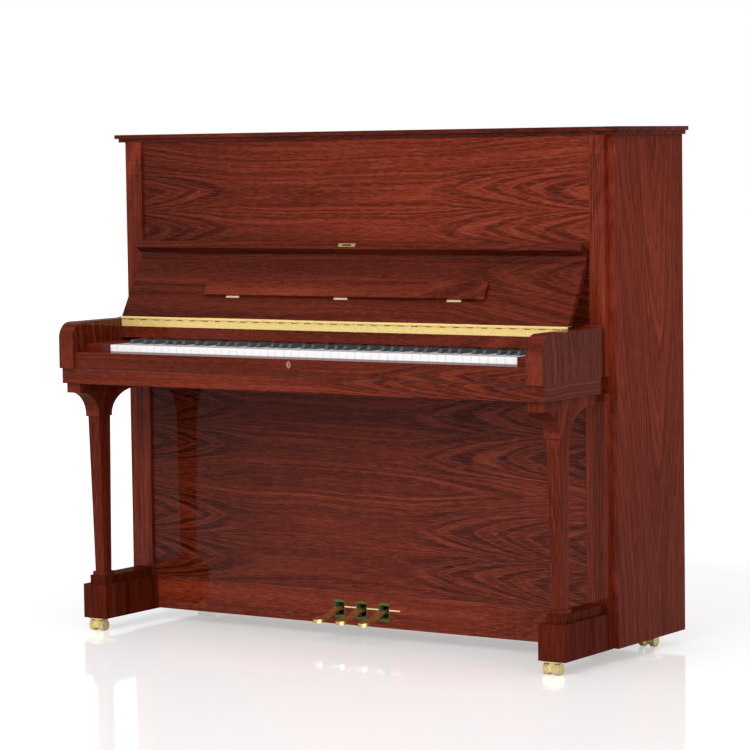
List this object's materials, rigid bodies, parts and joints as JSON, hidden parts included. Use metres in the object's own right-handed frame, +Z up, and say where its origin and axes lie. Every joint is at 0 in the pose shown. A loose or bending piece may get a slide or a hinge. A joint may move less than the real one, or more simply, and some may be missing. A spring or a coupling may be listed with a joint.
{
  "type": "upright piano",
  "caption": "Tall mahogany upright piano with open fallboard, full keyboard, three brass pedals, reeded pilasters, tapered legs on toe blocks and small casters.",
  "frame": {"origin": "on the floor under the middle of the whole instrument's bounding box", "axes": "+X to the treble end (the player's right), -Y towards the player, +Z up"},
  "size_m": [1.537, 0.661, 1.3],
  "materials": {
    "mahogany": "high-gloss clear lacquer over red-brown figured mahogany veneer",
    "plain_wood": "plain sanded beech and pine",
    "spruce": "thin satin varnish",
    "key_white": "polished ivory-white key covering on a wooden stick",
    "key_black": "polished black on a wooden stick",
    "brass": "polished, slightly aged",
    "green_felt": "wool felt",
    "hammer_wood_and_felt": "maple shank and pale wool felt head",
    "bronzed_iron": "bronze paint",
    "steel": "drawn and blued wire and pins"
  },
  "bodies": {
    "case": {"left_side": "mahogany", "right_side": "mahogany", "left_pilaster": "mahogany", "right_pilaster": "mahogany", "left_arm": "mahogany", "right_arm": "mahogany", "left_leg": "mahogany", "right_leg": "mahogany", "left_toe": "mahogany", "right_toe": "mahogany", "rear_lid": "mahogany", "upper_panel": "mahogany", "lower_panel": "mahogany", "plinth_rail": "mahogany", "keybed": "mahogany", "keyslip": "mahogany", "key_blocks": "mahogany", "hinge_rail": "mahogany", "pedal_bushings": "green_felt", "bottom_board": "plain_wood", "keyslip_lock": "brass", "rail_hinge_leaf": "brass", "key_frame": "plain_wood", "action_frame": "plain_wood", "back_frame": "plain_wood", "soundboard": "spruce", "bridges": "plain_wood", "iron_plate": "bronzed_iron", "strings": "steel", "tuning_pins": "steel", "pedal_bearings": "plain_wood", "caster_brackets": "brass"},
    "front_lid": {"front_lid": "mahogany"},
    "fallboard": {"fallboard": "mahogany", "fallboard_hinge_leaf": "brass", "strike_plate": "brass"},
    "music_ledge": {"music_ledge": "mahogany"},
    "left_pedal": {"left_pedal": "brass"},
    "middle_pedal": {"middle_pedal": "brass"},
    "right_pedal": {"right_pedal": "brass"},
    "soft_rod": {"soft_rod": "plain_wood"},
    "mute_rod": {"mute_rod": "plain_wood"},
    "sustain_rod": {"sustain_rod": "plain_wood"},
    "damper_lift_rod": {"damper_lift_rod": "steel"},
    "hammer_rail": {"hammer_rail": "plain_wood"},
    "mute_rail": {"mute_rail": "plain_wood"},
    "front_left_wheel": {"front_left_wheel": "brass"},
    "front_right_wheel": {"front_right_wheel": "brass"},
    "rear_left_wheel": {"rear_left_wheel": "brass"},
    "rear_right_wheel": {"rear_right_wheel": "brass"},
    "keys_odd": {"white_keys_odd": "key_white", "black_keys_odd": "key_black"},
    "keys_even": {"white_keys_even": "key_white", "black_keys_even": "key_black"},
    "wippens_odd": {"wippens_odd": "plain_wood"},
    "wippens_even": {"wippens_even": "plain_wood"},
    "hammers_odd": {"hammers_odd": "hammer_wood_and_felt"},
    "hammers_even": {"hammers_even": "hammer_wood_and_felt"},
    "dampers_odd": {"dampers_odd": "plain_wood"},
    "dampers_even": {"dampers_even": "plain_wood"}
  },
  "joints": [
    {"name": "front_lid_fold", "type": "hinge", "parent": "case", "child": "front_lid", "pos_m": [0, 0.1545, 1.302], "axis": [-1, 0, 0], "range_deg": [0, 178]},
    {"name": "fallboard_swing", "type": "hinge", "parent": "case", "child": "fallboard", "pos_m": [0, -0.129, 0.8195], "axis": [1, 0, 0], "range_deg": [0, 132]},
    {"name": "music_ledge_swing", "type": "hinge", "parent": "fallboard", "child": "music_ledge", "pos_m": [0, -0.0948, 0.87943], "axis": [-1, 0, 0], "range_deg": [-90, 0]},
    {"name": "left_pedal_press", "type": "hinge", "parent": "case", "child": "left_pedal", "pos_m": [-0.069, 0.06, 0.08], "axis": [1, 0, 0], "range_deg": [0, 5.9], "stiffness_Nm_per_rad": 8, "springref_deg": -8.59},
    {"name": "middle_pedal_press", "type": "hinge", "parent": "case", "child": "middle_pedal", "pos_m": [0, 0.182, 0.08], "axis": [1, 0, 0], "range_deg": [0, 3.93], "stiffness_Nm_per_rad": 8, "springref_deg": -8.59},
    {"name": "right_pedal_press", "type": "hinge", "parent": "case", "child": "right_pedal", "pos_m": [0.069, 0.165, 0.08], "axis": [1, 0, 0], "range_deg": [0, 3.76], "stiffness_Nm_per_rad": 8, "springref_deg": -8.59},
    {"name": "keys_odd_press", "type": "hinge", "parent": "case", "child": "keys_odd", "pos_m": [0, -0.027, 0.733], "axis": [1, 0, 0], "range_deg": [0, 2.6], "stiffness_Nm_per_rad": 60, "springref_deg": -5.73},
    {"name": "keys_even_press", "type": "hinge", "parent": "case", "child": "keys_even", "pos_m": [0, -0.027, 0.733], "axis": [1, 0, 0], "range_deg": [0, 2.6], "stiffness_Nm_per_rad": 60, "springref_deg": -5.73},
    {"name": "soft_rod_rise", "type": "slide", "parent": "case", "child": "soft_rod", "axis": [0, 0, 1], "range_m": [0, 0.0027]},
    {"name": "mute_rod_drop", "type": "slide", "parent": "case", "child": "mute_rod", "axis": [0, 0, 1], "range_m": [-0.0106, 0]},
    {"name": "sustain_rod_rise", "type": "slide", "parent": "case", "child": "sustain_rod", "axis": [0, 0, 1], "range_m": [0, 0.0021]},
    {"name": "mute_rail_drop", "type": "slide", "parent": "case", "child": "mute_rail", "axis": [0, 0, 1], "range_m": [-0.0106, 0]},
    {"name": "hammer_rail_rock", "type": "hinge", "parent": "case", "child": "hammer_rail", "pos_m": [0, 0.122, 0.858], "axis": [1, 0, 0], "range_deg": [-4.05, 0]},
    {"name": "damper_lift_rock", "type": "hinge", "parent": "case", "child": "damper_lift_rod", "pos_m": [0, 0.1724, 0.838], "axis": [1, 0, 0], "range_deg": [0, 5.05]},
    {"name": "wippens_odd_rise", "type": "hinge", "parent": "case", "child": "wippens_odd", "pos_m": [0, 0.16, 0.807], "axis": [1, 0, 0], "range_deg": [-4.6, 0]},
    {"name": "hammers_odd_blow", "type": "hinge", "parent": "hammer_rail", "child": "hammers_odd", "pos_m": [0, 0.122, 0.858], "axis": [1, 0, 0], "range_deg": [-17.05, 0]},
    {"name": "dampers_odd_lift", "type": "hinge", "parent": "damper_lift_rod", "child": "dampers_odd", "pos_m": [0, 0.1724, 0.838], "axis": [1, 0, 0], "range_deg": [0, 4.4]},
    {"name": "wippens_even_rise", "type": "hinge", "parent": "case", "child": "wippens_even", "pos_m": [0, 0.16, 0.807], "axis": [1, 0, 0], "range_deg": [-4.6, 0]},
    {"name": "hammers_even_blow", "type": "hinge", "parent": "hammer_rail", "child": "hammers_even", "pos_m": [0, 0.122, 0.858], "axis": [1, 0, 0], "range_deg": [-17.05, 0]},
    {"name": "dampers_even_lift", "type": "hinge", "parent": "damper_lift_rod", "child": "dampers_even", "pos_m": [0, 0.1724, 0.838], "axis": [1, 0, 0], "range_deg": [0, 4.4]},
    {"name": "front_left_wheel_roll", "type": "hinge", "parent": "case", "child": "front_left_wheel", "pos_m": [-0.692, -0.232, 0.0145], "axis": [1, 0, 0], "continuous": true},
    {"name": "front_right_wheel_roll", "type": "hinge", "parent": "case", "child": "front_right_wheel", "pos_m": [0.692, -0.232, 0.0145], "axis": [1, 0, 0], "continuous": true},
    {"name": "rear_left_wheel_roll", "type": "hinge", "parent": "case", "child": "rear_left_wheel", "pos_m": [-0.692, 0.24, 0.0145], "axis": [1, 0, 0], "continuous": true},
    {"name": "rear_right_wheel_roll", "type": "hinge", "parent": "case", "child": "rear_right_wheel", "pos_m": [0.692, 0.24, 0.0145], "axis": [1, 0, 0], "continuous": true}
  ],
  "couplings": [
    {"joint": "wippens_odd_rise", "follows": "keys_odd_press", "ratio": -1.75},
    {"joint": "hammers_odd_blow", "follows": "keys_odd_press", "ratio": -6.5385},
    {"joint": "dampers_odd_lift", "follows": "keys_odd_press", "ratio": 1.6406},
    {"joint": "wippens_even_rise", "follows": "keys_even_press", "ratio": -1.75},
    {"joint": "hammers_even_blow", "follows": "keys_even_press", "ratio": -6.5385},
    {"joint": "dampers_even_lift", "follows": "keys_even_press", "ratio": 1.6406},
    {"joint": "soft_rod_rise", "follows": "left_pedal_press", "m_per_rad": 0.025},
    {"joint": "hammer_rail_rock", "follows": "left_pedal_press", "ratio": -0.6757},
    {"joint": "mute_rod_drop", "follows": "middle_pedal_press", "m_per_rad": -0.152},
    {"joint": "mute_rail_drop", "follows": "middle_pedal_press", "m_per_rad": -0.152},
    {"joint": "sustain_rod_rise", "follows": "right_pedal_press", "m_per_rad": 0.03},
    {"joint": "damper_lift_rock", "follows": "right_pedal_press", "ratio": 1.3274}
  ]
}
